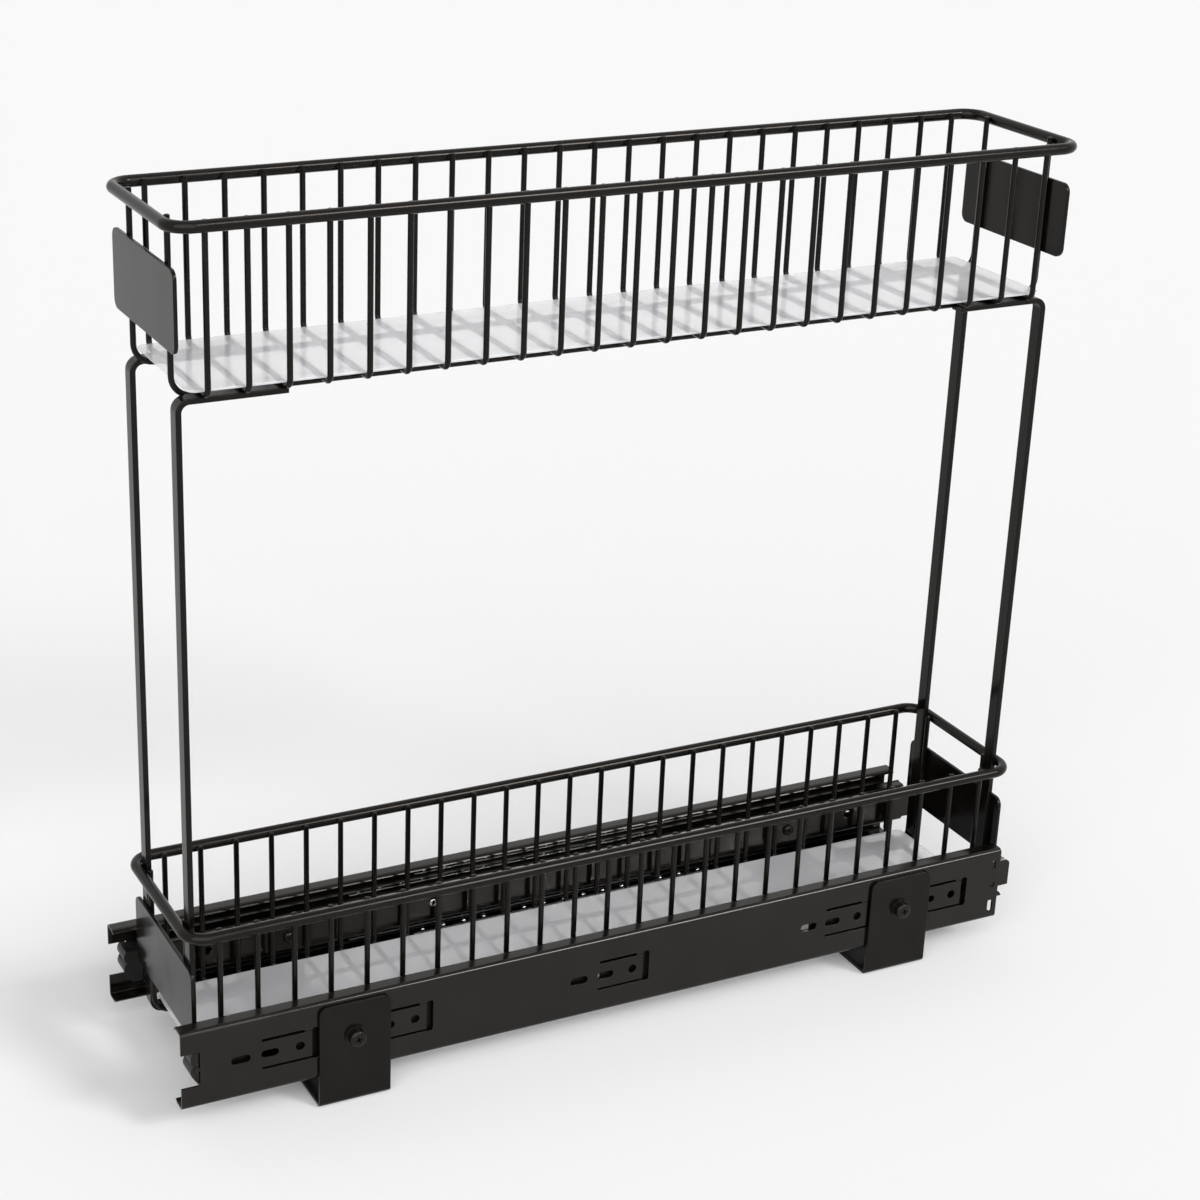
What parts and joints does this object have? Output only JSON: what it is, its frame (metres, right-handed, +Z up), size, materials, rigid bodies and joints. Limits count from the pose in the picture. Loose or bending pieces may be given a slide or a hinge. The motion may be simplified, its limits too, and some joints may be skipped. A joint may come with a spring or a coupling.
{
  "type": "two-tier pull-out basket",
  "caption": "Narrow two-tier wire basket for a base cabinet, pulled out on three-section ball slides held in floor saddles.",
  "frame": {"origin": "middle of the closed part's footprint, on the cabinet floor under the saddles", "axes": "+X the way the basket pulls out, along the slides; +Y to the right of someone facing the cabinet; +Z up"},
  "size_m": [0.516, 0.135, 0.4721],
  "materials": {
    "black_coat": "satin black powder coat",
    "slide_coat": "satin black coating",
    "cage_steel": "dark",
    "ball_steel": "polished",
    "black_fastener": "black plated",
    "black_plastic": "matte",
    "frosted_sheet": "frosted translucent"
  },
  "bodies": {
    "floor_mount": {"front_saddle_bracket": "black_coat", "rear_saddle_bracket": "black_coat", "left_cabinet_member": "slide_coat", "right_cabinet_member": "slide_coat", "bracket_screws": "black_fastener", "bracket_washers": "black_fastener", "left_rear_bumper": "black_plastic", "right_rear_bumper": "black_plastic"},
    "left_intermediate": {"left_intermediate_member": "slide_coat"},
    "right_intermediate": {"right_intermediate_member": "slide_coat"},
    "left_outer_ball_train": {"left_outer_cage": "cage_steel", "left_outer_balls": "ball_steel"},
    "right_outer_ball_train": {"right_outer_cage": "cage_steel", "right_outer_balls": "ball_steel"},
    "left_inner_ball_train": {"left_inner_cage": "cage_steel", "left_inner_balls": "ball_steel"},
    "right_inner_ball_train": {"right_inner_cage": "cage_steel", "right_inner_balls": "ball_steel"},
    "basket_frame": {"upper_rim": "black_coat", "lower_rim": "black_coat", "upper_cross_wires": "black_coat", "lower_cross_wires": "black_coat", "upper_long_wires": "black_coat", "lower_long_wires": "black_coat", "upper_liner": "frosted_sheet", "lower_liner": "frosted_sheet", "upper_front_plate": "black_coat", "upper_rear_plate": "black_coat", "lower_front_plate": "black_coat", "lower_rear_plate": "black_coat", "front_left_upright": "black_coat", "front_right_upright": "black_coat", "rear_left_upright": "black_coat", "rear_right_upright": "black_coat", "left_drawer_member": "slide_coat", "right_drawer_member": "slide_coat", "drawer_rivets": "ball_steel", "basket_lugs": "black_coat", "lug_screws": "black_fastener"}
  },
  "joints": [
    {"name": "basket_slide", "type": "slide", "parent": "floor_mount", "child": "basket_frame", "axis": [1, 0, 0], "range_m": [0, 0.5]},
    {"name": "left_intermediate_slide", "type": "slide", "parent": "floor_mount", "child": "left_intermediate", "axis": [1, 0, 0], "range_m": [0, 0.25]},
    {"name": "right_intermediate_slide", "type": "slide", "parent": "floor_mount", "child": "right_intermediate", "axis": [1, 0, 0], "range_m": [0, 0.25]},
    {"name": "left_outer_ball_slide", "type": "slide", "parent": "floor_mount", "child": "left_outer_ball_train", "axis": [1, 0, 0], "range_m": [0, 0.125]},
    {"name": "right_outer_ball_slide", "type": "slide", "parent": "floor_mount", "child": "right_outer_ball_train", "axis": [1, 0, 0], "range_m": [0, 0.125]},
    {"name": "left_inner_ball_slide", "type": "slide", "parent": "floor_mount", "child": "left_inner_ball_train", "axis": [1, 0, 0], "range_m": [0, 0.375]},
    {"name": "right_inner_ball_slide", "type": "slide", "parent": "floor_mount", "child": "right_inner_ball_train", "axis": [1, 0, 0], "range_m": [0, 0.375]}
  ],
  "couplings": [
    {"joint": "left_intermediate_slide", "follows": "basket_slide", "ratio": 0.5},
    {"joint": "right_intermediate_slide", "follows": "basket_slide", "ratio": 0.5},
    {"joint": "left_outer_ball_slide", "follows": "basket_slide", "ratio": 0.25},
    {"joint": "right_outer_ball_slide", "follows": "basket_slide", "ratio": 0.25},
    {"joint": "left_inner_ball_slide", "follows": "basket_slide", "ratio": 0.75},
    {"joint": "right_inner_ball_slide", "follows": "basket_slide", "ratio": 0.75}
  ]
}
